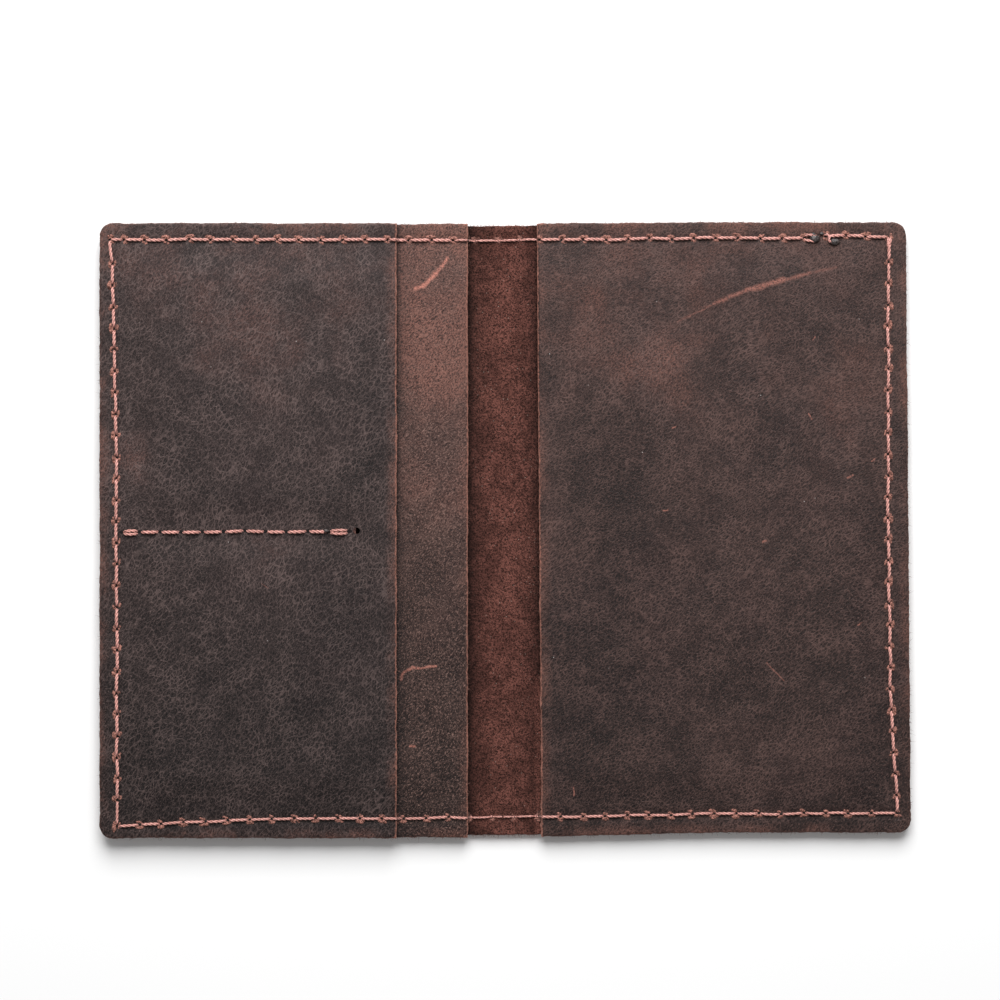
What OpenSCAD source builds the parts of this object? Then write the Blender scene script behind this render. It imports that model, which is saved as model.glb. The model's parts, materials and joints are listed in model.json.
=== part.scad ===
// Passport holder wallet, lying open and flat with its inside up.
// One hide folds at two bend lines, either side of its spine. A panel on each half takes a passport's
// cover, and a shorter panel on the left half makes two card pockets. A seam of two threads runs round
// the whole edge.
// The origin is at the middle of the outer face of the cover. +X points to the right half and +Z up.

/* [Wallet] */
// Width of the open wallet, over both halves
wallet_w = 184; // [180:1:186]
// Height of the wallet, along the spine
wallet_h = 140; // [136:1:150]
// Radius of the four outer corners
corner_r = 3; // [2:0.5:5]
// Width of bare suede between the two passport panels
spine_gap = 16.4; // [16.2:0.1:17]
// How far the card panel stops short of the passport panel under it
panel_step = 16.2; // [14:0.2:22]

/* [Leather] */
// Thickness of the outer cover
cover_t = 1.6; // [1.5:0.1:1.8]
// Thickness of each passport panel
passport_t = 1.3; // [1.2:0.1:1.5]
// Thickness of the card panel
card_t = 1.2; // [1:0.1:1.4]
// Height of an empty pocket
pocket_gap = 0.3; // [0.2:0.05:0.4]

/* [Edge seam] */
// Distance of the seam from the outer edge
seam_inset = 4; // [3.5:0.25:4.5]
// Number of stitches along each long edge, an odd number
stitches_long = 35; // [33:2:37]
// Number of stitches along each short edge, an odd number
stitches_short = 27; // [25:2:29]
// Radius of the thread where it lies on the leather
thread_r = 0.36; // [0.3:0.02:0.36]

/* [Divider seam] */
// Distance of the last divider stitch from the middle of the spine
divider_end = 35.9; // [34:0.1:38]
// Distance between divider stitches
divider_pitch = 4.79; // [4.4:0.01:4.8]
// Length of the short stitch that starts the divider
divider_first = 3.2; // [2.4:0.1:3.2]
// Radius of the relief hole that ends the divider
relief_r = 0.8; // [0.6:0.1:1]

/* [Spine] */
// Width of the spine between its two bend lines
spine_w = 9.6; // [9.4:0.1:10]
// Lean of the leather's inner flanks at a bend line, more than half of its 90 degrees
flank_angle = 46; // [45.5:0.5:47]

/* [Hidden] */
$fn = 48;
divider_stitches = 10;
open_stitch = 31; // the stitch near the top right corner where the seam's ends were melted

grain_colour = [0.29, 0.25, 0.25];
suede_colour = [0.36, 0.23, 0.2];
thread_colour = [0.78, 0.53, 0.47];

half_w = wallet_w / 2;
half_h = wallet_h / 2;
panel_edge = spine_gap / 2;
card_edge = panel_edge + panel_step;

neutral_z = cover_t / 2; // the bend lines lie in the middle of the cover's leather
passport_z = cover_t + pocket_gap;
passport_top = passport_z + passport_t;
card_z = passport_top + pocket_gap;
card_top = card_z + card_t;
above_all = card_top + 2; // higher than every piece, for cutting tools
below_all = -1;           // lower than every piece, for cutting tools

seam_x = half_w - seam_inset;
seam_y = half_h - seam_inset;
mid_stitch = (stitches_long - 1) / 2; // the stitch that crosses the middle of the spine

hole_r = 0.5;
peg_r = 0.42;        // thread where it stands in a hole
knot_rise = 0.05;    // how far a peg's end shows past the stitches that meet at it
bar_trim = 0.1;      // how far a stitch stops short of the middle of its peg
thread_lift = 0.02;  // thread clears the leather it lies on
bend_clear = 0.02;   // the leather stops this far short of a bend line on either side
groove_w = 1.1;
groove_d = 0.85;
groove_thread_z = knot_rise + thread_lift + thread_r; // axis of the thread bedded in the outer face
flank_top = cover_t + 2; // height up to which the flanks lean

divider_groove_d = 0.7;
divider_back_r = 0.28;
divider_back_z = passport_z + knot_rise + thread_lift + divider_back_r;
relief_offset = 1.6; // from the last divider stitch to the relief hole
tack_offset = 0.3;   // a doubled stitch lies this far either side of its seam line

end_strand_l = 1.6;  // loose strand beyond the seam's last hole
end_strand_r = 0.3;
melted_end_r = 0.55;

// Stitch hole positions

function stitch_x(k) = -seam_x + 2 * seam_x * k / stitches_long;
function stitch_y(k) = -seam_y + 2 * seam_y * k / stitches_short;

function edge_holes() = concat(
    [for (k = [0 : stitches_long], y = [-seam_y, seam_y]) [stitch_x(k), y]],
    [for (k = [1 : stitches_short - 1], x = [-seam_x, seam_x]) [x, stitch_y(k)]]);
function holes_between(x_from, x_to) = [for (h = edge_holes()) if (h.x > x_from && h.x < x_to) h];

function divider_x(k) = -divider_end - k * divider_pitch;
function divider_start() = divider_x(divider_stitches) - divider_first;
function divider_holes() = concat([for (k = [0 : divider_stitches]) [divider_x(k), 0]], [[divider_start(), 0]]);

// Height of the leather's inner face, and of the point where the two threads of a seam lock
function leather_top(x) = x < -card_edge ? card_top : abs(x) > panel_edge ? passport_top : cover_t;
function lock_z(x) = (groove_d + leather_top(x)) / 2;
function inner_axis_z(top) = top + thread_lift + thread_r;

// A stitch over a panel's edge stays at the higher level
function stitch_level(k) = max(leather_top(stitch_x(k)), leather_top(stitch_x(k + 1)));
function hole_level(k) = max(stitch_level(max(k - 1, 0)), stitch_level(min(k, stitches_long - 1)));

// The wallet's three zones, between its edges and its bend lines
LEFT = 0;
SPINE = 1;
RIGHT = 2;
zone_from = [-half_w, -spine_w / 2 + bend_clear, spine_w / 2 + bend_clear];
zone_to = [-spine_w / 2 - bend_clear, spine_w / 2 - bend_clear, half_w];

// Leather

module outline() {
    square([wallet_w - 2 * corner_r, wallet_h], center = true);
    square([wallet_w, wallet_h - 2 * corner_r], center = true);
    for (x = [-1, 1], y = [-1, 1])
        translate([x * (half_w - corner_r), y * (half_h - corner_r)])
            circle(r = corner_r);
}

module sheet(x_from, x_to, z_from, thickness) {
    translate([0, 0, z_from])
        linear_extrude(thickness)
            intersection() {
                outline();
                translate([x_from, -half_h])
                    square([x_to - x_from, wallet_h]);
            }
}

module drill(holes, r) {
    for (h = holes)
        translate([h.x, h.y, below_all])
            cylinder(h = above_all - below_all, r = r);
}

module edge_groove() {
    translate([0, 0, below_all])
        linear_extrude(groove_d - below_all)
            difference() {
                square([2 * seam_x + groove_w, 2 * seam_y + groove_w], center = true);
                square([2 * seam_x - groove_w, 2 * seam_y - groove_w], center = true);
            }
}

module divider_groove() {
    translate([divider_start() - groove_w / 2, -groove_w / 2, passport_z - 1])
        cube([divider_x(0) - divider_start() + groove_w, groove_w, divider_groove_d + 1]);
}

// One zone's space: its flanks are upright below the bend lines and lean away above them
module zone_space(zone) {
    lean = (flank_top - neutral_z) * tan(flank_angle);
    lean_from = zone == LEFT ? 0 : lean;
    lean_to = zone == RIGHT ? 0 : lean;
    translate([0, half_h, 0])
        rotate([90, 0, 0])
            linear_extrude(wallet_h)
                polygon([
                    [zone_from[zone], below_all],
                    [zone_to[zone], below_all],
                    [zone_to[zone], neutral_z],
                    [zone_to[zone] - lean_to, flank_top],
                    [zone_from[zone] + lean_from, flank_top],
                    [zone_from[zone], neutral_z]]);
}

module outer_cover(zone) {
    color(suede_colour)
        difference() {
            intersection() {
                sheet(-half_w, half_w, 0, cover_t);
                zone_space(zone);
            }
            edge_groove();
            drill(holes_between(zone_from[zone], zone_to[zone]), hole_r);
        }
}

module passport_panel_left() {
    color(grain_colour)
        difference() {
            sheet(-half_w, -panel_edge, passport_z, passport_t);
            divider_groove();
            drill(holes_between(-half_w, -panel_edge), hole_r);
            drill(divider_holes(), hole_r);
            drill([[relief_offset - divider_end, 0]], relief_r);
        }
}

module passport_panel_right() {
    color(grain_colour)
        difference() {
            sheet(panel_edge, half_w, passport_z, passport_t);
            drill(holes_between(panel_edge, half_w), hole_r);
        }
}

module card_panel() {
    color(grain_colour)
        difference() {
            sheet(-half_w, -card_edge, card_z, card_t);
            drill(holes_between(-half_w, -card_edge), hole_r);
            drill(divider_holes(), hole_r);
            drill([[relief_offset - divider_end, 0]], relief_r);
        }
}

// Thread

// A straight stitch between two holes, with its axis at height z
module bar(from, to, z, r) {
    translate([from.x, from.y, z])
        rotate([0, 90, atan2(to.y - from.y, to.x - from.x)])
            translate([0, 0, bar_trim])
                cylinder(h = norm(to - from) - 2 * bar_trim, r = r);
}

module peg(hole, z_from, z_to) {
    translate([hole.x, hole.y, z_from])
        cylinder(h = z_to - z_from, r = peg_r);
}

module inner_peg(hole, level) {
    peg(hole, lock_z(hole.x), inner_axis_z(level) + thread_r + knot_rise);
}

module outer_peg(hole) {
    peg(hole, groove_thread_z - thread_r - knot_rise, lock_z(hole.x));
}

// The thread along both long edges between two of their holes, leaving the open stitch out
module inner_rows(k_from, k_to) {
    for (y = [-seam_y, seam_y]) {
        for (k = [k_from : k_to])
            inner_peg([stitch_x(k), y], hole_level(k));
        for (k = [k_from : k_to - 1])
            if (y < 0 || k != open_stitch)
                bar([stitch_x(k), y], [stitch_x(k + 1), y], inner_axis_z(stitch_level(k)), thread_r);
    }
}

module outer_rows(k_from, k_to) {
    for (y = [-seam_y, seam_y]) {
        for (k = [k_from : k_to])
            outer_peg([stitch_x(k), y]);
        for (k = [k_from : k_to - 1])
            bar([stitch_x(k), y], [stitch_x(k + 1), y], groove_thread_z, thread_r);
    }
}

module inner_column(x) {
    for (k = [1 : stitches_short - 1])
        inner_peg([x, stitch_y(k)], leather_top(x));
    for (k = [0 : stitches_short - 1])
        bar([x, stitch_y(k)], [x, stitch_y(k + 1)], inner_axis_z(leather_top(x)), thread_r);
}

module outer_column(x) {
    for (k = [1 : stitches_short - 1])
        outer_peg([x, stitch_y(k)]);
    for (k = [0 : stitches_short - 1])
        bar([x, stitch_y(k)], [x, stitch_y(k + 1)], groove_thread_z, thread_r);
}

// The part of the three stitches across the spine that lies in one zone
module spine_bars(zone, z) {
    intersection() {
        for (y = [-seam_y, seam_y])
            bar([stitch_x(mid_stitch - 1), y], [stitch_x(mid_stitch + 2), y], z, thread_r);
        zone_space(zone);
    }
}

// The seam's two ends lie loose at the open stitch, cut short and melted into beads
module melted_ends() {
    for (k = [open_stitch, open_stitch + 1]) {
        hole = [stitch_x(k), seam_y];
        tip = hole - [0, end_strand_l];
        bar(hole, tip, inner_axis_z(passport_top), end_strand_r);
        translate([tip.x, tip.y, passport_top + thread_lift + melted_end_r])
            sphere(r = melted_end_r);
    }
}

module inner_thread_left() {
    color(thread_colour) {
        inner_rows(0, mid_stitch - 1);
        inner_column(-seam_x);
        spine_bars(LEFT, inner_axis_z(cover_t));
    }
}

module inner_thread_right() {
    color(thread_colour) {
        inner_rows(mid_stitch + 2, stitches_long);
        inner_column(seam_x);
        spine_bars(RIGHT, inner_axis_z(cover_t));
        melted_ends();
    }
}

module outer_thread_left() {
    color(thread_colour) {
        outer_rows(0, mid_stitch - 1);
        outer_column(-seam_x);
        spine_bars(LEFT, groove_thread_z);
    }
}

module outer_thread_right() {
    color(thread_colour) {
        outer_rows(mid_stitch + 2, stitches_long);
        outer_column(seam_x);
        spine_bars(RIGHT, groove_thread_z);
    }
}

module inner_thread_spine() {
    color(thread_colour) {
        spine_bars(SPINE, inner_axis_z(cover_t));
        for (hole = holes_between(zone_from[SPINE], zone_to[SPINE]))
            inner_peg(hole, cover_t);
    }
}

module outer_thread_spine() {
    color(thread_colour) {
        spine_bars(SPINE, groove_thread_z);
        for (hole = holes_between(zone_from[SPINE], zone_to[SPINE]))
            outer_peg(hole);
    }
}

// A divider stitch, with a second strand beside it where the seam was tacked
module divider_stitch(x_from, x_to, tacked) {
    for (y = tacked ? [-tack_offset, tack_offset] : [0])
        bar([x_from, y], [x_to, y], inner_axis_z(card_top), thread_r);
}

module divider_front_thread() {
    lock = (passport_z + divider_groove_d + card_top) / 2;
    color(thread_colour) {
        for (hole = divider_holes())
            peg(hole, lock, inner_axis_z(card_top) + thread_r + knot_rise);
        for (k = [0 : divider_stitches - 1])
            divider_stitch(divider_x(k + 1), divider_x(k), k == 0);
        divider_stitch(divider_start(), divider_x(divider_stitches), true);
    }
}

module divider_back_thread() {
    lock = (passport_z + divider_groove_d + card_top) / 2;
    color(thread_colour) {
        for (hole = divider_holes())
            peg(hole, passport_z + thread_lift, lock);
        for (k = [0 : divider_stitches - 1])
            bar([divider_x(k + 1), 0], [divider_x(k), 0], divider_back_z, divider_back_r);
        bar([divider_start(), 0], [divider_x(divider_stitches), 0], divider_back_z, divider_back_r);
    }
}

outer_cover(LEFT);  // outer_cover_left
outer_cover(SPINE);  // outer_cover_spine
outer_cover(RIGHT);  // outer_cover_right
passport_panel_left();
passport_panel_right();
card_panel();
inner_thread_left();
inner_thread_spine();
inner_thread_right();
outer_thread_left();
outer_thread_spine();
outer_thread_right();
divider_front_thread();
divider_back_thread();
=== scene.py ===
import json
import math

import bpy
import numpy as np
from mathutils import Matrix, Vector


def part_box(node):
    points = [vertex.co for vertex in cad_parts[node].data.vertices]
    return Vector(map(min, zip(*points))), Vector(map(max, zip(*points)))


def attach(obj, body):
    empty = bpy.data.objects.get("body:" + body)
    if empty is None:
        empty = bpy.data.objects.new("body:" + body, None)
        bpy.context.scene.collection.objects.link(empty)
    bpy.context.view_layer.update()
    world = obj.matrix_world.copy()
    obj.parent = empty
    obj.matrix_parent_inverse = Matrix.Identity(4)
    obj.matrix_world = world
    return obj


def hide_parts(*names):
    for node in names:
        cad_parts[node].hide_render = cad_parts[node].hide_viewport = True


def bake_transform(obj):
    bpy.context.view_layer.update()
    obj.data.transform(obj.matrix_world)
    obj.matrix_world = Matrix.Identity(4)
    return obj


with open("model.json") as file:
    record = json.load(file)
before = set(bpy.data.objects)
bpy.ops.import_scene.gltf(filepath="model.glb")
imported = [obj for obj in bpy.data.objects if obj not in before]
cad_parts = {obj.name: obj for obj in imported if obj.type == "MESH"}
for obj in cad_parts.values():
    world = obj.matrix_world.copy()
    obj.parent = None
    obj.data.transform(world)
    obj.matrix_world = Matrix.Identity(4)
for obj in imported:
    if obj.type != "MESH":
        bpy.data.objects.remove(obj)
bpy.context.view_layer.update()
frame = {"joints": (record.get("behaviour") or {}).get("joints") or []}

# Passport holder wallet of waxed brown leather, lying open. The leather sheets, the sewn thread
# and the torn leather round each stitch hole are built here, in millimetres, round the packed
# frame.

MM = 0.001


def cad_box(node):
    """A CAD node's lowest and highest corners in millimetres."""
    low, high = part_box(node)
    return np.array(low) / MM, np.array(high) / MM


# Sizes, from the CAD frame

COVER_LOW, COVER_HIGH = cad_box("outer_cover_left")
PASSPORT_LOW, PASSPORT_HIGH = cad_box("passport_panel_left")
CARD_LOW, CARD_HIGH = cad_box("card_panel")
SEAM_LOW, SEAM_HIGH = cad_box("outer_thread_left")
DIVIDER_LOW, DIVIDER_HIGH = cad_box("divider_front_thread")

HALF_W, HALF_H = -COVER_LOW[0], COVER_HIGH[1]
COVER_T = COVER_HIGH[2]
PASSPORT_Z, PASSPORT_TOP = PASSPORT_LOW[2], PASSPORT_HIGH[2]
CARD_Z, CARD_TOP = CARD_LOW[2], CARD_HIGH[2]
PANEL_EDGE, CARD_EDGE = -PASSPORT_HIGH[0], -CARD_HIGH[0]
PEG_R = 0.42               # the CAD thread's radius where it stands in a hole
SEAM_X = -SEAM_LOW[0] - PEG_R
SEAM_Y = SEAM_HIGH[1] - PEG_R
DIVIDER_END = -DIVIDER_HIGH[0] - PEG_R
DIVIDER_START = -DIVIDER_LOW[0] - PEG_R
HINGE_X = [joint["pos_m"][0] / MM for joint in frame["joints"]]
BEND_HALF = 3.2            # the leather bends over this much on each side of a hinge line
BEND_END = max(HINGE_X) + BEND_HALF

CORNER_R = 3.0
PRESSED = PASSPORT_Z - COVER_T   # the seams close the empty pockets' gap
STITCHES_LONG = 35
STITCHES_SHORT = 27
OPEN_STITCH = 32           # the seam's ends meet here, near the top right corner
DIVIDER_STITCHES = 11
DIVIDER_PITCH = 4.79
RELIEF_OFFSET = 1.6        # from the last divider hole to the middle of the relief hole
RELIEF_HOLE = (RELIEF_OFFSET - DIVIDER_END, 0.0)
RELIEF_R = 0.8
PINCH_W = 1.1              # half width of the furrow that the thread pulls into the leather
GROOVE_DEPTH = 0.62        # of the groove that the outer thread lies in
GROOVE_W = 0.62

# Shapes of the leather


def smooth(value, start, end):
    """0 before start and 1 after end, with a smooth step between them."""
    t = np.clip((np.asarray(value, float) - start) / (end - start), 0, 1)
    return t * t * (3 - 2 * t)


LATTICE = 97               # the noise repeats after this many of its features


def noise(x, y, size, seed):
    """Smooth noise from -1 to 1, with features of about that size."""
    lattice = np.random.default_rng(seed).uniform(-1, 1, (LATTICE, LATTICE))
    u = np.asarray(x, float) / size
    v = np.asarray(y, float) / size
    i = np.floor(u).astype(int)
    j = np.floor(v).astype(int)
    fu = smooth(u - i, 0, 1)
    fv = smooth(v - j, 0, 1)
    i0, i1, j0, j1 = i % LATTICE, (i + 1) % LATTICE, j % LATTICE, (j + 1) % LATTICE
    low = lattice[i0, j0] * (1 - fu) + lattice[i1, j0] * fu
    high = lattice[i0, j1] * (1 - fu) + lattice[i1, j1] * fu
    return low * (1 - fv) + high * fv


def seam_pressed(x, y):
    """1 where the edge seam holds the layers together, 0 in the middle of a pocket."""
    inset = np.minimum(HALF_W - np.abs(x), HALF_H - np.abs(y))
    return 1 - smooth(inset, 4.5, 15)


def divider_pressed(x, y):
    """1 where the divider seam holds the card panel on the passport panel."""
    return (1 - smooth(np.abs(y), 0.8, 8)) * (1 - smooth(x, -DIVIDER_END - 1, -DIVIDER_END + 6))


def swell(x, y):
    """The gentle waves of leather that has been handled."""
    waves = 0.16 * noise(x, y, 34, 3) + 0.05 * noise(x, y, 11, 4)
    return waves * (1 - 0.8 * seam_pressed(x, y))


def seam_row_y(x, side):
    """The hand-sewn seam line along the top (side 1) or bottom (side -1) edge."""
    if side > 0:
        return SEAM_Y + 0.3 + 0.5 * smooth(x, 62, 78)
    return -SEAM_Y + np.interp(x, [-88, -56, 15, 56, 88], [-1.3, 0.4, 0.5, 0.3, 0.5])


def seam_column_x(y, side):
    """The hand-sewn seam line along the right (side 1) or left (side -1) edge."""
    if side > 0:
        return SEAM_X + np.interp(y, [-66, -36, 0, 30, 66], [0.9, -0.45, -0.6, -0.45, 0.0])
    return -SEAM_X - np.interp(y, [-20, 23, 41, 57, 66], [0.0, 0.3, 0.6, 0.8, 1.7])


def seam_distance(x, y):
    """How far a point is from the edge seam's line."""
    rows = np.minimum(np.abs(y - seam_row_y(x, 1)), np.abs(y - seam_row_y(x, -1)))
    columns = np.minimum(np.abs(x - seam_column_x(y, 1)), np.abs(x - seam_column_x(y, -1)))
    rows = np.where(np.abs(x) < SEAM_X + 1, rows, 9)
    columns = np.where(np.abs(y) < SEAM_Y + 1, columns, 9)
    return np.minimum(rows, columns)


def furrow(x, y, depth):
    """How far the seam's thread pulls the leather down."""
    return depth * np.exp(-(seam_distance(x, y) / PINCH_W) ** 2)


def cover_top(x, y):
    return COVER_T - furrow(x, y, 0.14)


def passport_top(x, y):
    return PASSPORT_TOP - PRESSED * seam_pressed(x, y) + swell(x, y) - furrow(x, y, 0.16)


def passport_bottom(x, y):
    return PASSPORT_Z - PRESSED * seam_pressed(x, y) + np.minimum(swell(x, y), 0) * 0.5


def card_drop(x, y):
    """How far the seams press the card panel down, through both pockets' gaps."""
    held = np.maximum(seam_pressed(x, y), np.where(x < 0, divider_pressed(x, y), 0))
    return PRESSED * (seam_pressed(x, y) + held)


def card_top(x, y):
    return CARD_TOP - card_drop(x, y) + swell(x, y) - furrow(x, y, 0.16)


def card_bottom(x, y):
    return CARD_Z - card_drop(x, y) + swell(x, y)


def cover_bottom(x, y):
    groove = GROOVE_DEPTH * np.exp(-(seam_distance(x, y) / GROOVE_W) ** 4)
    return 0.02 + groove


def leather_top(x, y):
    """Height of the leather that the inner thread lies on."""
    panel = smooth(np.abs(x), PANEL_EDGE - 0.7, PANEL_EDGE + 0.5)
    card = 1 - smooth(x, -CARD_EDGE - 0.5, -CARD_EDGE + 0.7)
    top = cover_top(x, y) * (1 - panel) + passport_top(x, y) * panel
    return top * (1 - card) + card_top(x, y) * card


LEAN = 0.0081              # slope of the right half, sideways per length


def skew(x, y):
    """Where the hand-cut wallet has a point: the right half leans and sits a little higher."""
    lean = -LEAN * y * smooth(x, PANEL_EDGE - 0.6, PANEL_EDGE)
    lift = smooth(x, -10, 60) * (0.4 + 0.37 * (1 - y / HALF_H))
    return x + lean + 0.4 * smooth(x, 60, 92), y + lift


# Meshes


def store(mesh, name, values):
    """Gives each vertex of a mesh a value that the materials read."""
    attribute = mesh.attributes.new(name, "FLOAT", "POINT")
    attribute.data.foreach_set("value", values.astype(np.float32))


class Piece:
    """Vertices and faces of one object, gathered in millimetres."""

    def __init__(self):
        self.points = []
        self.faces = []
        self.slots = []
        self.values = {}
        self.count = 0

    def add(self, points, faces, slot=0, **values):
        """Adds vertices, faces that count from the first of them, and a value per vertex."""
        points = np.asarray(points, float)
        self.points.append(points)
        self.faces += [tuple(i + self.count for i in face) for face in faces]
        self.slots += [slot] * len(faces)
        for name, value in values.items():
            column = np.broadcast_to(value, len(points)).astype(float)
            self.values.setdefault(name, []).append(column)
        self.count += len(points)

    def bridge(self, upper, lower, slot):
        """Closes the band between two rings of vertices, given by their indices."""
        sides = np.stack([lower, np.roll(lower, -1), np.roll(upper, -1), upper], axis=1)
        self.faces += [tuple(side) for side in sides.tolist()]
        self.slots += [slot] * len(sides)

    def build(self, name, materials, smooth_angle=None):
        points = np.concatenate(self.points)
        mesh = bpy.data.meshes.new(name)
        mesh.from_pydata((points * MM).tolist(), [], self.faces)
        for material in materials:
            mesh.materials.append(material)
        mesh.polygons.foreach_set("material_index", self.slots)
        mesh.polygons.foreach_set("use_smooth", [True] * len(mesh.polygons))
        for key, parts in self.values.items():
            store(mesh, key, np.concatenate(parts))
        flat = mesh.attributes.new("flat", "FLOAT_VECTOR", "POINT")
        flat.data.foreach_set("vector", points.astype(np.float32).ravel())
        mesh.update()
        if smooth_angle:
            mesh.set_sharp_from_angle(angle=math.radians(smooth_angle))
        piece = bpy.data.objects.new(name, mesh)
        bpy.context.scene.collection.objects.link(piece)
        return piece


GRID_STEP = 0.62
FINE_STEP = 0.3
EDGE_LINES = (0.0, 0.12, 0.3, 0.6)


def grid_lines(start, end, raw_start, raw_end, seams):
    """A sheet's grid lines along one axis: closer at its raw edges and over its seams."""
    wanted = [start, end]
    if raw_start:
        wanted += [start + step for step in EDGE_LINES]
    if raw_end:
        wanted += [end - step for step in EDGE_LINES]
    for seam in seams:
        wanted += list(seam + np.arange(-2.1, 2.11, FINE_STEP))
    wanted += list(np.arange(start + 1.2, end - 1.2, GRID_STEP))
    lines = []
    for value in wanted:
        if start <= value <= end and all(abs(value - line) > 0.1 for line in lines):
            lines.append(value)
    return np.array(sorted(lines))


def grid_quads(rows, columns):
    """The faces of a grid of vertices, counted row by row."""
    index = np.arange(rows * columns).reshape(rows, columns)
    low = index[:-1, :-1].ravel()
    return np.stack([low, low + 1, low + columns + 1, low + columns], axis=1)


def round_corners(x, y):
    """Bends the square grid's four corners to the wallet's corner radius."""
    a = (np.abs(x) - (HALF_W - CORNER_R)) / CORNER_R
    b = (np.abs(y) - (HALF_H - CORNER_R)) / CORNER_R
    corner = (a > 0) & (b > 0)
    ax = a * np.sqrt(np.maximum(1 - b * b / 2, 0))
    by = b * np.sqrt(np.maximum(1 - a * a / 2, 0))
    x_new = np.sign(x) * (HALF_W - CORNER_R + ax * CORNER_R)
    y_new = np.sign(y) * (HALF_H - CORNER_R + by * CORNER_R)
    return np.where(corner, x_new, x), np.where(corner, y_new, y)


class Sheet:
    """One cut sheet of leather with raw edges, from x_from to x_to and over the wallet's height."""

    RIM = ((0.15, 0.05), (0.5, 0.09), (0.85, 0.05))   # share of the way down, and bulge
    ROUNDING = 0.16        # drop of a worn raw edge
    ROUNDING_W = 0.14

    def __init__(self, x_from, x_to, top, bottom, seed, raw=(True, True), waist=0.0, hole=None,
                 fine_top=True, fine_bottom=False):
        self.x_from, self.x_to = x_from, x_to
        self.top, self.bottom = top, bottom
        self.seed, self.raw = seed, raw
        self.waist, self.hole = waist, hole
        self.fine_top, self.fine_bottom = fine_top, fine_bottom
        columns = [x for x in (-SEAM_X, SEAM_X) if x_from < x < x_to]
        self.xs = grid_lines(x_from, x_to, *raw, columns)
        self.ys = grid_lines(-HALF_H, HALF_H, True, True, [-SEAM_Y, SEAM_Y])

    def edge_distance(self, x, y):
        distance = HALF_H - np.abs(y)
        if self.raw[0]:
            distance = np.minimum(distance, x - self.x_from)
        if self.raw[1]:
            distance = np.minimum(distance, self.x_to - x)
        return np.maximum(distance, 0)

    def cut_edge(self, x, y, out):
        """The unevenness of a cut edge, pushed out by out more."""
        fade = np.exp(-self.edge_distance(x, y) / 1.5)
        rough_x = 0.1 * noise(y, x, 5, self.seed) + 0.1 * noise(y, x, 0.7, self.seed + 1) + out
        rough_y = 0.1 * noise(x, y, 5, self.seed + 2) + 0.1 * noise(x, y, 0.7, self.seed + 3) + out
        left = np.exp(-(x - self.x_from) / 0.8) * self.raw[0]
        right = np.exp(-(self.x_to - x) / 0.8) * self.raw[1]
        ends = np.exp(-(HALF_H - np.abs(y)) / 0.8) * np.sign(y)
        drawn_in = self.waist * (1 - smooth(np.abs(x), PANEL_EDGE + 0.5, PANEL_EDGE + 3))
        return rough_x * (right - left) * fade, (rough_y - drawn_in) * ends * fade

    def place(self, x, y, height, out=0.0):
        """Where a point of the flat pattern lies on the wallet."""
        shift_x, shift_y = self.cut_edge(x, y, out)
        round_x, round_y = round_corners(x, y)
        px, py = skew(round_x + shift_x, round_y + shift_y)
        return np.stack([px, py, height(x, y)], axis=-1)

    def rounded(self, surface, x, y, down):
        """The height of a face whose raw edges are worn round."""
        worn = self.ROUNDING * np.exp(-self.edge_distance(x, y) / self.ROUNDING_W)
        return surface(x, y) - down * worn

    def top_height(self, x, y):
        return self.rounded(self.top, x, y, 1)

    def bottom_height(self, x, y):
        return self.rounded(self.bottom, x, y, -1)

    def rim_ring(self, x, y, share, out):
        """One line of vertices round the cut edge, that share of the way down."""
        def height(u, v):
            return self.top_height(u, v) * (1 - share) + self.bottom_height(u, v) * share

        rough = 0.05 * noise(x + y, share * 9, 0.7, self.seed + 5)
        straight = self.place(x, y, height)
        pushed = self.place(x, y, height, out + rough)
        return np.where(self.joined(x)[:, None], straight, pushed)

    def build(self, name, materials):
        """Builds the sheet. Its slots are the top face, the bottom face and the cut edge."""
        gx, gy = np.meshgrid(self.xs, self.ys)
        rows, columns = gx.shape
        x, y = gx.ravel(), gy.ravel()
        index = np.arange(rows * columns).reshape(rows, columns)
        loop = np.concatenate([index[0, :-1], index[:-1, -1], index[-1, :0:-1], index[:0:-1, 0]])
        quads = grid_quads(rows, columns)
        edge = self.edge_distance(x, y)
        top_points = self.place(x, y, self.top_height)
        bottom_points = self.place(x, y, self.bottom_height)
        if self.hole:
            quads, opening = self.punch(x, y, quads, (top_points, bottom_points))

        piece = Piece()
        rings = [self.add_face(piece, top_points, quads, loop, 0, edge, self.fine_top)]
        for share, out in self.RIM:
            rings.append(np.arange(len(loop)) + piece.count)
            piece.add(self.rim_ring(x[loop], y[loop], share, out), [], edge=0)
        if self.hole:
            piece.bridge(opening + piece.count, opening, 2)
        rings.append(self.add_face(piece, bottom_points, quads[:, ::-1], loop, 1, edge,
                                   self.fine_bottom))
        for upper, lower in zip(rings, rings[1:]):
            piece.bridge(upper, lower, 2)
        return piece.build(name, materials, 50)

    def add_face(self, piece, points, quads, loop, slot, edge, fine):
        """Adds a face as a grid, or else as one polygon. Returns the indices of its outline."""
        first = piece.count
        if fine:
            piece.add(points, quads, slot, edge=edge)
            return first + loop
        outline = np.arange(len(loop))
        polygon = outline[::-1] if slot else outline
        piece.add(points[loop], [polygon.tolist()], slot, edge=edge[loop])
        return first + outline

    def joined(self, x):
        """True where the rim continues in the next sheet."""
        left = (np.abs(x - self.x_from) < 1e-6) & (not self.raw[0])
        right = (np.abs(x - self.x_to) < 1e-6) & (not self.raw[1])
        return left | right

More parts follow.
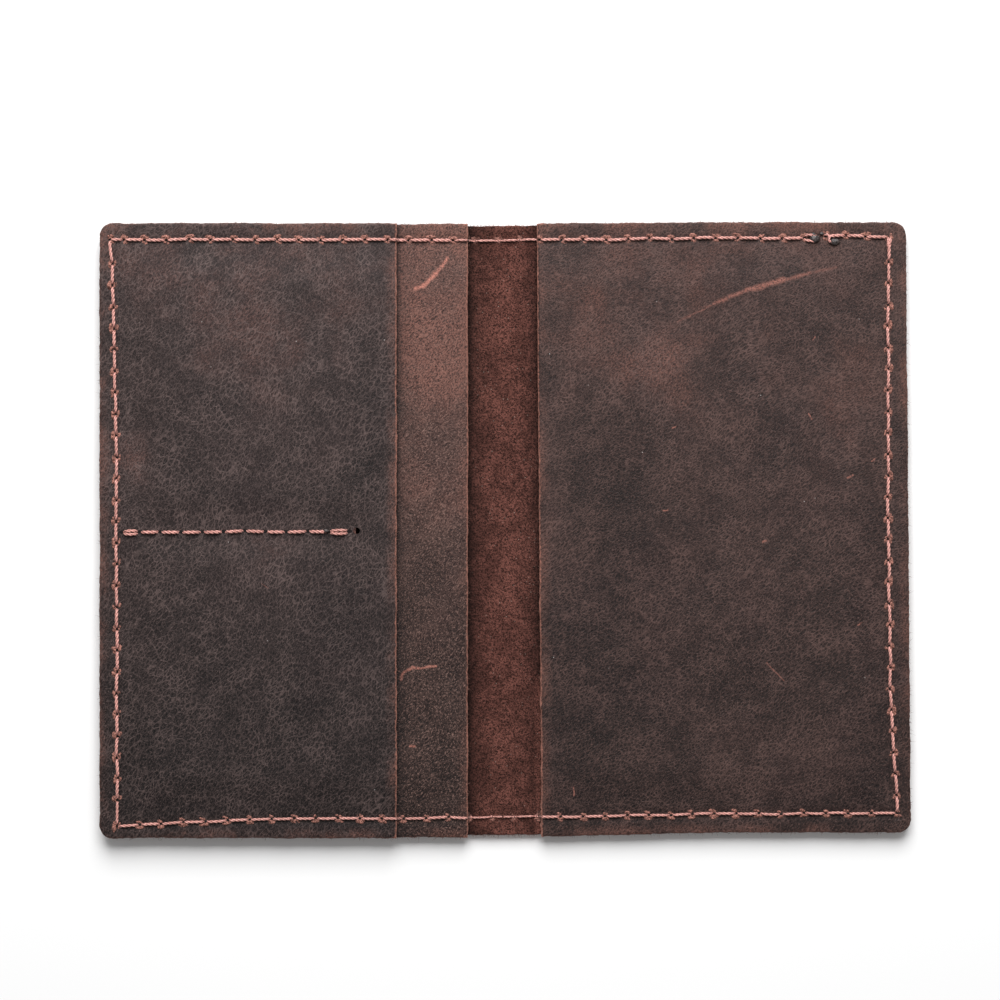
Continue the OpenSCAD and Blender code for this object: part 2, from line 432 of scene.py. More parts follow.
    def punch(self, x, y, quads, sides):
        """Opens a round hole: drops the quads inside it and draws its rim to the circle."""
        hx, hy = self.hole
        inside = np.hypot(x[quads].mean(1) - hx, y[quads].mean(1) - hy) < RELIEF_R * 1.02
        kept, dropped = quads[~inside], quads[inside]
        rim = np.intersect1d(np.unique(kept), np.unique(dropped))
        angle = np.arctan2(y[rim] - hy, x[rim] - hx)
        rim = rim[np.argsort(angle)]
        angle = np.sort(angle)
        for points in sides:
            points[rim, 0] = hx + RELIEF_R * np.cos(angle)
            points[rim, 1] = hy + RELIEF_R * np.sin(angle)
        return kept, rim


rng = np.random.default_rng(7)

# Thread

PLIES = 3
PLY_R = 0.23
PLY_OFFSET = 0.19
PLY_SIDES = 8
THREAD_R = PLY_OFFSET + PLY_R
TWIST = 3.2                # length of one turn of the twisted plies
THREAD_STEP = 0.18


def frames_along(path):
    """Two unit vectors across a path at each of its points."""
    tangent = np.gradient(path, axis=0)
    tangent /= np.linalg.norm(tangent, axis=1)[:, None]
    side = np.cross([0.0, 0.0, 1.0], tangent[0])
    side /= np.linalg.norm(side)
    across = []
    for direction in tangent:
        side = side - direction * side.dot(direction)
        side /= np.linalg.norm(side)
        across.append(side)
    across = np.array(across)
    return across, np.cross(tangent, across)


def add_tube(piece, centres, side, up, radius, sides, axis=None, scale=1.0):
    """A closed tube round centres. For a ply, also how far off the thread's axis it is."""
    angle = np.arange(sides) * 2 * math.pi / sides
    radius = np.broadcast_to(radius, len(centres))
    cos, sin = np.cos(angle)[None, :, None], np.sin(angle)[None, :, None]
    ring = side[:, None, :] * cos + up[:, None, :] * sin
    points = (centres[:, None, :] + ring * radius[:, None, None]).reshape(-1, 3)
    faces = []
    for i in range(len(centres) - 1):
        for j in range(sides):
            k = (j + 1) % sides
            faces.append((i * sides + j, i * sides + k, (i + 1) * sides + k, (i + 1) * sides + j))
    last = (len(centres) - 1) * sides
    faces.append(tuple(range(sides))[::-1])
    faces.append(tuple(last + j for j in range(sides)))
    if axis is None:
        piece.add(points, faces)
        return
    away = (points - axis.repeat(sides, axis=0)) / (THREAD_R * np.repeat(scale, sides))[:, None]
    piece.add(points, faces, crest=np.linalg.norm(away, axis=1), high=np.abs(away[:, 2]))


def add_twisted(pieces, path, scale, phase, cuts=()):
    """A twisted thread along a path, cut at the cuts, each stretch in its own piece."""
    length = np.concatenate([[0], np.cumsum(np.linalg.norm(np.diff(path, axis=0), axis=1))])
    side, up = frames_along(path)
    scale = np.broadcast_to(scale, len(path))
    where = path[:, 0]
    bounds = [-HALF_W - 1, *cuts, HALF_W + 1]
    for piece, low, high in zip(pieces, bounds, bounds[1:]):
        inside = np.nonzero((where >= low - 1e-6) & (where <= high + 1e-6))[0]
        if len(inside) < 2:
            continue
        for ply in range(PLIES):
            turn = phase + ply * 2 * math.pi / PLIES + length * 2 * math.pi / TWIST
            offset = side * np.cos(turn)[:, None] + up * np.sin(turn)[:, None]
            centres = path + offset * (PLY_OFFSET * scale)[:, None]
            add_tube(piece, centres[inside], side[inside], up[inside], PLY_R * scale[inside],
                     PLY_SIDES, path[inside], scale[inside])


DIVE_W = 0.6               # how near its hole a stitch dips


def stitch_path(a, b, surface, rest, rise, cuts=(), bow=0.0, dive=1.2, face=1):
    """A stitch's line, out of hole a and into hole b. face is -1 on the outer side."""
    a, b = np.asarray(a, float), np.asarray(b, float)
    length = np.linalg.norm(b - a)
    share = np.linspace(0, 1, int(length / THREAD_STEP) + 1)
    for cut in cuts:
        if (a[0] - cut) * (b[0] - cut) < 0:
            at = (cut - a[0]) / (b[0] - a[0])
            share = share[np.abs(share - at) > 0.02]
            share = np.sort(np.append(share, at))
    across = np.array([-(b - a)[1], (b - a)[0]]) / length
    flat = a + share[:, None] * (b - a) + np.sin(share * math.pi)[:, None] * across * bow
    near = np.minimum(share, 1 - share) * length
    height = rest + rise * np.sin(share * math.pi) - dive * np.exp(-(near / DIVE_W) ** 2)
    px, py = skew(flat[:, 0], flat[:, 1])
    for cut in cuts:
        px = np.where(np.abs(flat[:, 0] - cut) < 1e-6, cut, px)
    return np.stack([px, py, surface(flat[:, 0], flat[:, 1]) + face * height], axis=1)


# Torn leather round the stitch holes

STAMP_X = np.linspace(-1.5, 1.5, 19)
STAMP_Y = np.linspace(-1.25, 1.25, 17)


def dome(x, y, cx, cy, rx, ry, height):
    """A rounded mound."""
    q = ((x - cx) / rx) ** 2 + ((y - cy) / ry) ** 2
    return height * np.sqrt(np.maximum(1 - q, 0))


def add_stamp(piece, hole, along, out, surface, lips=1.0, pit=(0.42, 0.3), pit_at=(0.0, 0.0),
              face=1):
    """Torn leather round a hole: a long lip outside the seam, a short one inside, and a dark disc
    over the hole, painted as its shade.
    """
    u, v = np.meshgrid(STAMP_X, STAMP_Y)
    u, v = u.ravel(), v.ravel()
    along, out = np.asarray(along, float), np.asarray(out, float)
    lean = rng.uniform(-0.4, 0.4)
    size = rng.uniform(0.7, 1.2)
    grow = rng.uniform(0.8, 1.3)
    lumps = 1 + 1.0 * noise(u + hole[0] * 3.1, v + hole[1] * 2.3, 0.34, 11)
    outer = dome(u, v, lean * 0.5, 0.56 + lean * u * 0.4, 1.15 * size, 0.56 * grow, 0.42)
    inner = dome(u, v, 0.2 + lean, -0.52 - 0.2 * u, 0.8 * size, 0.38 * grow, 0.28)
    lip = lips * np.maximum(outer, inner) * lumps
    # the dark disc over the hole is painted shade, not a hollow
    deep = dome(u, v, pit_at[0], pit_at[1], pit[0], pit[1], 1.0)
    height = -0.1 + np.maximum(lip, 0.13 * np.sqrt(deep))
    flat = np.asarray(hole, float) + u[:, None] * along + v[:, None] * out
    px, py = skew(flat[:, 0], flat[:, 1])
    points = np.stack([px, py, surface(flat[:, 0], flat[:, 1]) + face * height], axis=1)
    quads = grid_quads(len(STAMP_Y), len(STAMP_X))
    turned = along[0] * out[1] - along[1] * out[0] < 0
    if turned != (face < 0):
        quads = quads[:, ::-1]
    piece.add(points, quads.tolist(), deep=np.clip(deep * 1.6, 0, 1),
              raised=np.clip(lip * 2.2, 0, 1))


def add_lump(piece, centre, size, seed, roughness=0.18, segments=14):
    """A closed rough lump, such as a thread end that was melted."""
    polar = np.linspace(0, math.pi, segments // 2 + 1)[1:-1]
    angle = np.arange(segments) * 2 * math.pi / segments
    x = np.outer(np.sin(polar), np.cos(angle)).ravel()
    y = np.outer(np.sin(polar), np.sin(angle)).ravel()
    z = np.repeat(np.cos(polar), segments)
    ball = np.concatenate([[[0, 0, 1]], np.stack([x, y, z], axis=1), [[0, 0, -1]]])
    x, y, z = ball.T
    swollen = 1 + roughness * noise(x * 2 + z, y * 2 - z, 0.6, seed)
    points = np.asarray(centre, float) + ball * swollen[:, None] * np.asarray(size)
    faces = []
    for j in range(segments):
        k = (j + 1) % segments
        faces.append((0, 1 + j, 1 + k))
        for ring in range(len(polar) - 1):
            a = 1 + ring * segments
            faces.append((a + j, a + segments + j, a + segments + k, a + k))
        a = 1 + (len(polar) - 1) * segments
        faces.append((a + k, a + j, len(points) - 1))
    piece.add(points, faces)


def add_fibre(piece, base, direction, length, thickness):
    """One loose fibre, a thin curved hair."""
    share = np.linspace(0, 1, 5)
    direction = np.asarray(direction, float) / np.linalg.norm(direction)
    bend = rng.normal(0, 0.35, 3)
    bend[2] = abs(bend[2]) * 0.5
    reach = (share * length)[:, None]
    path = np.asarray(base) + reach * direction + reach * share[:, None] * bend
    side, up = frames_along(path + np.linspace(0, 1e-3, 5)[:, None])
    add_tube(piece, path, side, up, thickness * (1.05 - share), 3)


# Materials


def colour(red, green, blue):
    """A material colour from the 0 to 255 values that it shows as."""
    shares = [value / 255 for value in (red, green, blue)]
    linear = [((share + 0.055) / 1.055) ** 2.4 if share > 0.04 else share / 12.92
              for share in shares]
    return (*linear, 1.0)


class Shader:
    """A material's node tree, built one node at a time. Texture sizes are in millimetres."""

    def __init__(self, name, roughness, specular=0.5):
        self.material = bpy.data.materials.new(name)
        self.material.use_nodes = True
        self.tree = self.material.node_tree
        self.surface = self.tree.nodes["Principled BSDF"]
        self.surface.inputs["Specular IOR Level"].default_value = specular
        self.surface.inputs["Roughness"].default_value = roughness

    def node(self, kind, inputs, **settings):
        node = self.tree.nodes.new("ShaderNode" + kind)
        for key, value in settings.items():
            setattr(node, key, value)
        for key, value in inputs.items():
            self.feed(node.inputs[key], value)
        return node

    def feed(self, socket, value):
        if isinstance(value, bpy.types.NodeSocket):
            self.tree.links.new(value, socket)
        else:
            socket.default_value = value

    def attribute(self, name, output="Fac"):
        return self.node("Attribute", {}, attribute_name=name).outputs[output]

    def math(self, operation, a, b=0.0, clamp=False):
        return self.node("Math", {0: a, 1: b}, operation=operation, use_clamp=clamp).outputs[0]

    def times(self, a, b):
        return self.math("MULTIPLY", a, b)

    def shape(self, value, low, high, out_low=0.0, out_high=1.0):
        """Turns values from low to high into out_low to out_high, and holds them there."""
        inputs = {"Value": value, "From Min": low, "From Max": high,
                  "To Min": out_low, "To Max": out_high}
        return self.node("MapRange", inputs, interpolation_type="SMOOTHSTEP").outputs[0]

    def mix(self, share, a, b):
        inputs = {0: share, 6: a, 7: b}
        return self.node("Mix", inputs, data_type="RGBA").outputs[2]

    def noise(self, place, size, detail=3.0, roughness=0.55):
        inputs = {"Vector": place, "Scale": 1 / size, "Detail": detail, "Roughness": roughness}
        return self.node("TexNoise", inputs).outputs["Fac"]

    def warp(self, place, size, amount):
        """Shifts texture coordinates by smooth noise."""
        inputs = {"Vector": place, "Scale": 1 / size, "Detail": 2.0}
        cloud = self.node("TexNoise", inputs).outputs["Color"]
        centred = self.node("VectorMath", {0: cloud, 1: (0.5, 0.5, 0.5)},
                            operation="SUBTRACT").outputs[0]
        shift = self.node("VectorMath", {0: centred, "Scale": amount}, operation="SCALE").outputs[0]
        return self.node("VectorMath", {0: place, 1: shift}, operation="ADD").outputs[0]

    def stretch(self, place, angle, factor):
        """Turns texture coordinates and draws them out along that angle, in degrees."""
        turned = self.node("Mapping", {"Vector": place, "Rotation": (0, 0, math.radians(-angle))})
        inputs = {"Vector": turned.outputs[0], "Scale": (1 / factor, 1, 1)}
        return self.node("Mapping", inputs).outputs[0]

    def creases(self, place, size, width):
        """A net of fine lines round cells of that size: 1 on a line and 0 off it."""
        inputs = {"Vector": place, "Scale": 1 / size, "Randomness": 1.0}
        distance = self.node("TexVoronoi", inputs, feature="DISTANCE_TO_EDGE").outputs["Distance"]
        return self.shape(distance, 0.0, width / size, 1.0, 0.0)

    def specks(self, place, size, reach):
        """Scattered dots: 1 in a dot and 0 off it."""
        inputs = {"Vector": place, "Scale": 1 / size}
        distance = self.node("TexVoronoi", inputs).outputs["Distance"]
        return self.shape(distance, 0.0, reach, 1.0, 0.0)

    def scratch(self, place, start, end, width):
        """A worn line between two points: 1 on it and 0 off it."""
        length = math.dist(start, end)
        angle = math.atan2(end[1] - start[1], end[0] - start[0])
        inputs = {"Vector": place, "Location": (*start, 0), "Rotation": (0, 0, angle)}
        local = self.node("Mapping", inputs, vector_type="TEXTURE").outputs[0]
        parts = self.node("SeparateXYZ", {0: local}).outputs
        before, after = self.times(parts[0], -1.0), self.math("SUBTRACT", parts[0], length)
        beyond = self.math("MAXIMUM", self.math("MAXIMUM", before, after), 0.0)
        aside = self.math("ABSOLUTE", parts[1])
        return self.shape(self.math("ADD", aside, beyond), 0.0, width, 1.0, 0.0)

    def complete(self, paint, height, depth):
        """Sets the colour, and the relief: a height that is turned into millimetres by depth."""
        inputs = {"Height": self.times(height, depth), "Distance": MM, "Strength": 1.0}
        self.feed(self.surface.inputs["Normal"], self.node("Bump", inputs).outputs[0])
        self.feed(self.surface.inputs["Base Color"], paint)
        return self.material


DARK_GRAIN = colour(10, 7, 8)
WARM_GRAIN = colour(134, 88, 76)
WORN_GRAIN = colour(196, 128, 112)
RUBBED = colour(118, 80, 70)
DUST = colour(214, 208, 204)
RAW_EDGE = colour(172, 116, 100)


def make_grain(name, angle, base, pale, marks, net, fleck, glow, cell):
    """Waxed pull-up leather with a net of pale creases and a fine pebble.

    angle is the creases' direction in degrees, and cell the width of the net's cells. base and
    pale are colours from 0 to 255. net, fleck and glow are the strength of the creases, flecks
    and worn patches.
    """
    s = Shader(name, 0.5, 0.2)
    base, pale = colour(*base), colour(*pale)
    flat = s.attribute("flat", "Vector")
    bent = s.warp(s.warp(flat, 46, 11.0), 3.2, 0.6)
    pebble = s.noise(s.stretch(bent, angle, 1.5), 0.32, 4.0, 0.85)
    cloud = s.noise(flat, 13, 5.0, 0.62)
    # the stored tone carries a painted highlight that grows lighter towards the top; it picks dark
    # or base paint, and where the warm worn patches show
    light = s.times(s.shape(cloud, 0.3, 0.7, 0.72, 1.15), s.attribute("tone_and_painted_light"))
    paint = s.mix(s.shape(light, 0.1, 2.0), DARK_GRAIN, base)
    paint = s.mix(s.shape(pebble, 0.53, 0.38, 0.0, fleck), paint, DARK_GRAIN)
    paint = s.mix(s.shape(pebble, 0.52, 0.66, 0.0, fleck * 0.8), paint, pale)
    worn = s.times(s.shape(light, 1.1, 1.9), s.shape(pebble, 0.42, 0.6, 0.0, glow))
    paint = s.mix(worn, paint, WARM_GRAIN)

    wide_net = s.creases(s.stretch(bent, angle, 2.3), cell, 0.12)
    fine_net = s.creases(s.stretch(s.warp(bent, 1.5, 0.4), angle + 14, 1.8), cell * 0.6, 0.09)
    lines = s.times(s.math("MAXIMUM", wide_net, s.times(fine_net, 0.4)), net)
    patchy = s.shape(s.noise(flat, 6, 5.0, 0.7), 0.36, 0.64, 0.3, 1.0)
    shown = s.times(patchy, s.shape(pebble, 0.3, 0.55, 0.5, 1.0))
    shown = s.times(shown, s.shape(light, 0.2, 1.3, 0.75, 1.0))
    paint = s.mix(s.times(lines, shown), paint, pale)

    wobbly = s.warp(flat, 2.6, 1.1)
    broken = s.shape(s.noise(flat, 0.33, 3.0, 0.85), 0.4, 0.54, 0.1, 1.0)
    scratched = 0.0
    for start, end, width, strength in marks:
        mark = s.times(s.scratch(wobbly, start, end, width), strength)
        scratched = s.math("MAXIMUM", scratched, mark)
    paint = s.mix(s.times(scratched, broken), paint, WORN_GRAIN)
    paint = s.mix(s.times(s.specks(flat, 7, 0.022), 0.9), paint, DUST)

    near_edge = s.shape(s.attribute("edge"), 0.2, 3.0, 1.0, 0.0)
    rubbed = s.times(near_edge, s.shape(cloud, 0.43, 0.6, 0.08, 0.7))
    paint = s.mix(s.times(rubbed, s.shape(pebble, 0.42, 0.6, 0.1, 1.0)), paint, RUBBED)
    # painted shade where a panel's edge would shadow the leather
    paint = s.mix(s.times(s.attribute("painted_shade"), 0.8), paint, DARK_GRAIN)
    edge = s.math("ADD", s.attribute("edge"), s.noise(flat, 0.7, 3.0, 0.7))
    paint = s.mix(s.shape(edge, 0.4, 0.85), s.mix(s.attribute("free"), paint, RAW_EDGE), paint)
    s.feed(s.surface.inputs["Roughness"], s.shape(cloud, 0.3, 0.7, 0.46, 0.62))
    return s.complete(paint, s.math("ADD", pebble, s.times(wide_net, 0.2)), 0.11)


def make_suede():
    """The cover's flesh side: a fuzzy red-brown nap with pale dust, and painted shadow beside the
    panels.
    """
    s = Shader("suede", 0.9, 0.15)
    flat = s.attribute("flat", "Vector")
    nap = s.noise(s.warp(flat, 0.6, 0.3), 0.36, 4.0, 0.9)
    tuft = s.noise(flat, 4.5, 5.0, 0.6)
    base = s.mix(s.shape(nap, 0.4, 0.6), colour(20, 9, 7), colour(148, 94, 83))
    base = s.mix(s.shape(tuft, 0.6, 0.4, 0.0, 0.4), base, colour(40, 20, 16))
    dust = s.times(s.specks(flat, 1.1, 0.16), s.shape(s.noise(flat, 5, 3.0), 0.45, 0.6))
    base = s.mix(s.times(dust, 0.8), base, colour(196, 178, 166))
    # painted shade beside the panels, where their edges shadow the suede
    base = s.mix(s.times(s.attribute("painted_shade"), 0.95), base, colour(20, 10, 8))
    return s.complete(base, s.math("ADD", nap, s.times(tuft, 0.6)), 0.5)


def make_raw_edge():
    """The cut edge of the leather: pale salmon fibres, darkened by wax on the outer edges."""
    s = Shader("raw_edge", 0.85, 0.25)
    flat = s.attribute("flat", "Vector")
    fibre = s.noise(s.warp(flat, 0.5, 0.3), 0.28, 4.0, 0.7)
    layers = s.noise(s.stretch(flat, 0, 6), 0.35, 2.0, 0.5)
    base = s.mix(s.shape(fibre, 0.35, 0.65), colour(122, 78, 66), colour(205, 156, 140))
    base = s.mix(s.shape(layers, 0.6, 0.4, 0.0, 0.4), base, colour(92, 58, 50))
    base = s.mix(s.shape(s.attribute("free"), 0.0, 1.0, 0.6, 0.0), base, colour(60, 42, 38))
    return s.complete(base, fibre, 0.16)


def make_thread():
    """Twisted waxed thread: fine fibres, and painted shade between the plies and along the sides,
    with the crests left bright.
    """
    s = Shader("thread", 0.4, 0.5)
    flat = s.attribute("flat", "Vector")
    fibre = s.noise(flat, 0.16, 3.0, 0.7)
    worn = s.noise(flat, 2.2, 3.0, 0.6)
    base = s.mix(s.shape(fibre, 0.36, 0.64), colour(166, 96, 84), colour(252, 190, 178))
    base = s.mix(s.shape(worn, 0.6, 0.35, 0.0, 0.3), base, colour(120, 68, 56))
    # painted shade: dark between the plies and down the thread's sides, away from the lit crests
    crest = s.shape(s.attribute("crest"), 0.6, 0.9, 0.6, 1.0)
    high = s.shape(s.attribute("high"), 0.05, 0.65)
    base = s.mix(s.times(crest, high), colour(70, 32, 25), base)
    s.surface.inputs["Sheen Weight"].default_value = 0.2
    return s.complete(base, fibre, 0.05)


def make_torn():
    """The torn leather round the stitch holes, with painted shade where the thread goes into the
    hole.
    """
    s = Shader("torn_leather", 0.8, 0.3)
    flat = s.attribute("flat", "Vector")
    fibre = s.noise(flat, 0.36, 4.0, 0.85)
    base = s.mix(s.shape(fibre, 0.38, 0.6), colour(52, 32, 28), colour(196, 136, 121))
    base = s.mix(s.shape(s.attribute("raised"), 0.05, 0.5, 0.8, 0.0), base, colour(44, 28, 25))
    # painted shade in the stitch hole
    base = s.mix(s.shape(s.attribute("deep"), 0.1, 0.8), base, colour(16, 9, 9))
    return s.complete(base, fibre, 0.3)


def make_melted():
    """Thread ends melted to grey beads."""
    s = Shader("melted_thread", 0.4, 0.5)
    flat = s.attribute("flat", "Vector")
    clotted = s.shape(s.noise(flat, 0.4, 3.0), 0.35, 0.65)
    base = s.mix(clotted, colour(16, 13, 14), colour(78, 68, 66))
    return s.complete(base, s.noise(flat, 0.3, 3.0), 0.1)


def make_floor():
    """A plain white table."""
    s = Shader("floor", 0.9, 0.1)
    place = s.node("TexCoord", {}).outputs["Object"]
    white = s.mix(s.noise(place, 0.4, 2.0), (0.88, 0.88, 0.88, 1), (0.9, 0.9, 0.9, 1))
    s.feed(s.surface.inputs["Base Color"], white)
    return s.material


def stroke(points, widths, strengths):
    """A worn line through points, as one mark for each stretch."""
    return list(zip(points, points[1:], widths, strengths))


# Where scratches and scuffs lie: from, to, half width and strength
CARD_MARKS = [
    ((-53.4, -13), (-55, -12), 0.2, 0.2),
]
LEFT_MARKS = [
    *stroke(((-20.2, 55.1), (-18.6, 55.6), (-15.4, 58.7), (-12.7, 62.3)),
            (0.7, 0.85, 0.6), (0.9, 0.95, 0.8)),
    *stroke(((-23.4, -34.1), (-22.8, -32.3), (-20.6, -31.3), (-15.2, -31.0)),
            (0.5, 0.5, 0.4), (0.6, 0.75, 0.65)),
    ((-21.4, -49.0), (-20.2, -49.2), 0.4, 0.7),
]
RIGHT_MARKS = [
    *stroke(((39.6, 47.6), (48.0, 51.8), (55.2, 54.8), (64.0, 57.2), (70.0, 58.8), (76.0, 60.0)),
            (0.4, 0.8, 1.0, 0.7, 0.5), (0.2, 0.36, 0.5, 0.34, 0.16)),
    ((36.4, 4.7), (37.6, 4.9), 0.3, 0.5),
    ((59.0, -2.6), (59.9, -2.2), 0.35, 0.5),
    ((70.5, 43.5), (71.2, 44.2), 0.3, 0.5),
    ((69.7, 26.8), (70.4, 25.4), 0.3, 0.5),
    ((38.5, 23.4), (39.2, 23.6), 0.3, 0.5),
    ((84.0, 15.8), (84.9, 16.4), 0.3, 0.5),
    ((78.3, 12.1), (79.6, 12.7), 0.35, 0.5),
    ((80.8, -21.6), (81.8, -21.0), 0.3, 0.5),
    ((16.0, -58.6), (16.2, -60.6), 0.3, 0.5),
    ((60.1, -30.2), (64.2, -34.5), 0.3, 0.3),
]
# Paler and darker patches: x, y, reach along x and y, and gain
PATCHES = [
    (34.5, 38, 8, 8, 0.9), (42, 28, 7, 9, 0.35), (76, 22, 8, 16, 0.3), (60, -3, 5, 5, 0.4),
    (54, -54, 12, 9, 0.55), (72, -52, 9, 8, 0.35), (11, 2, 3, 14, 0.4), (20, 52, 12, 10, 0.2),
    (24, 8, 12, 16, -0.4), (18, -30, 14, 20, -0.5), (68, 20, 7, 10, -0.25), (82, 60, 8, 8, -0.2),
    (-54, -4, 8, 6, 0.5), (-84, 16, 5, 8, 0.6), (-60, 42, 22, 14, 0.15), (-80, -50, 12, 14, -0.2),
    (-30, 20, 6, 20, -0.3), (-50, -42, 18, 12, -0.15), (-15.5, 41, 9, 4, 0.7),
    (-16, 25, 9, 7, -0.3),
]


def tone_and_painted_light(x, y):
    """Large soft paler and darker differences of the leather, about 1 on average, and a painted
    highlight: it grows lighter towards the top, where the lamp's sheen falls.
    """
    # painted highlight: the leather grows lighter towards the top, as the lamp's sheen falls there
    value = 0.92 + 0.48 * (y / HALF_H)
    # the left passport panel's strip beside the card panel grows lighter towards its top
    strip = (x < 0) & (x > -CARD_EDGE)
    value = value + strip * 0.6 * smooth(y, -35, 50)
    for px, py, rx, ry, gain in PATCHES:
        value = value + gain * np.exp(-((x - px) / rx) ** 2 - ((y - py) / ry) ** 2)
    return value


def add_tone_and_painted_light(piece):
    """Stores a sheet's colour differences with their painted highlight, its painted shadow beside
    the panels, and how free its nearest edge is.
    """
    mesh = piece.data
    points = np.empty(len(mesh.vertices) * 3)
    mesh.vertices.foreach_get("co", points)
    points = points.reshape(-1, 3) / MM
    x, y = points[:, 0], points[:, 1]
    under_card = points[:, 2] < CARD_Z - 0.1
    # painted shade: the suede darkens beside the panels, and the left passport panel beside the
    # card panel's edge, where these edges cast shadow
    beside_panels = np.exp(-np.maximum(PANEL_EDGE - np.abs(x), 0) / 3.0) * np.where(x < 0, 1.0, 0.8)
    beside_card = np.exp(-np.maximum(x + CARD_EDGE, 0) / 1.3) * (x < 0)
    painted_shade = np.where(np.abs(x) < PANEL_EDGE, beside_panels, beside_card * under_card)
    free_x = np.where(under_card, PANEL_EDGE, CARD_EDGE * (x < 0))
    free = np.where(np.abs(x) < free_x + 1.2, 0.8, 0.12)
    store(mesh, "tone_and_painted_light", tone_and_painted_light(x, y))
    store(mesh, "painted_shade", painted_shade)
    store(mesh, "free", free)


# Bodies

LEFT, SPINE, RIGHT = "left_half", "spine", "right_half"


def follow(piece, zone, slot, *nodes):
    """Joins a piece to its zone's body, or bakes its place into its mesh on the spine. The slot is
    not used.
    """
    if zone == "left":
        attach(piece, LEFT)
    elif zone == "right":
        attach(piece, RIGHT)
    elif zone == "spine_left":
        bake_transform(piece)
    else:
        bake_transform(piece)
    if nodes:
        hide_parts(*nodes)


# Build the leather

SUEDE = make_suede()
RAW = make_raw_edge()
THREAD = make_thread()
TORN = make_torn()
MELTED = make_melted()
CARD_GRAIN = make_grain("card_panel_grain", 57, (51, 39, 38), (126, 106, 102), CARD_MARKS,
                        net=0.45, fleck=0.5, glow=0.35, cell=0.8)
LEFT_GRAIN = make_grain("passport_panel_left_grain", 50, (84, 57, 51), (152, 120, 110), LEFT_MARKS,
                        net=0.2, fleck=0.9, glow=0.6, cell=0.6)
RIGHT_GRAIN = make_grain("passport_panel_right_grain", 40, (54, 38, 35), (112, 86, 80), RIGHT_MARKS,
                         net=0.6, fleck=0.7, glow=0.5, cell=0.6)
OUTER_GRAIN = make_grain("cover_grain", 30, (66, 47, 44), (108, 84, 78), (),
                         net=0.5, fleck=0.5, glow=0.2, cell=0.8)

COVER_SHEETS = {
    "cover_left": (-HALF_W, -BEND_END, (True, False)),
    "cover_spine_left": (-BEND_END, 0.0, (False, False)),
    "cover_spine_right": (0.0, BEND_END, (False, False)),
    "cover_right": (BEND_END, HALF_W, (False, True)),
}
leather = {}


def add_leather(name, sheet, materials, zone, slot, node):
    """Builds a sheet, colours it and joins it to its body."""
    leather[name] = sheet.build(name, materials)
    add_tone_and_painted_light(leather[name])
    follow(leather[name], zone, slot, node)


for name, (x_from, x_to, raw) in COVER_SHEETS.items():
    zone = name.removeprefix("cover_")
    sheet = Sheet(x_from, x_to, cover_top, cover_bottom, 21, raw=raw, waist=0.35,
                  fine_top="spine" in zone, fine_bottom=True)
    node = "outer_cover_" + zone.split("_")[0]
    add_leather(name, sheet, [SUEDE, OUTER_GRAIN, RAW], zone, "cover_leather", node)
PASSPORT_FACES = (passport_top, passport_bottom)
CARD_FACES = (card_top, card_bottom)
PANELS = {
    "passport_panel_left_leather": ((-HALF_W, -PANEL_EDGE), PASSPORT_FACES, 31, RELIEF_HOLE,
                                    LEFT_GRAIN),
    "passport_panel_right_leather": ((PANEL_EDGE, HALF_W), PASSPORT_FACES, 41, None, RIGHT_GRAIN),
    "card_panel_leather": ((-HALF_W, -CARD_EDGE), CARD_FACES, 51, RELIEF_HOLE, CARD_GRAIN),
}
for name, (span, faces, seed, hole, material) in PANELS.items():
    sheet = Sheet(*span, *faces, seed, hole=hole, fine_bottom=hole is not None)
    zone = "left" if span[0] < 0 else "right"
    add_leather(name, sheet, [material, SUEDE, RAW], zone, "panel_leather",
                name.removesuffix("_leather"))

# Sew the seams

ZONES = ("left", "spine_left", "spine_right", "right")
CUTS = (-BEND_END, 0.0, BEND_END)


def zone_of(x):
    return ZONES[int(np.searchsorted(CUTS, x))]


inner_thread = {zone: Piece() for zone in ZONES}
outer_thread = {zone: Piece() for zone in ZONES}
torn = {zone: Piece() for zone in ZONES}
outer_pits = {zone: Piece() for zone in ZONES}
melted = Piece()
divider_melted = Piece()
divider = Piece()
divider_torn = Piece()


def row_hole(k, side):
    """Hole k of the top (side 1) or bottom (side -1) row."""
    x = -SEAM_X + 2 * SEAM_X * k / STITCHES_LONG
    if k in (0, STITCHES_LONG):
        x = float(seam_column_x(side * SEAM_Y, 1 if k else -1))
    elif side > 0:
        x += 1.2 * float(1 - smooth(x, 70, 84))
    return np.array([x, float(seam_row_y(x, side))])


def column_hole(k, side):
    """Hole k of the right (side 1) or left (side -1) column, which ends in the rows' holes."""
    if k in (0, STITCHES_SHORT):
        return row_hole(STITCHES_LONG if side > 0 else 0, 1 if k else -1)
    y = -SEAM_Y + 2 * SEAM_Y * k / STITCHES_SHORT - 0.3
    return np.array([float(seam_column_x(y, side)), y])


def jitter(hole, amount):
    return hole + rng.normal(0, amount, 2)


def on_row(hole):
    return abs(hole[1]) > SEAM_Y - 3


def thread_scale(a, b):
    """The thread's thickness, pulled thin across the spine and along the bottom row."""
    if abs(a[0] + b[0]) / 2 < PANEL_EDGE + 1 and on_row(a):
        scale = 0.72
    else:
        scale = rng.uniform(0.95, 1.05)
    return scale * 0.85 if a[1] < 3 - SEAM_Y else scale


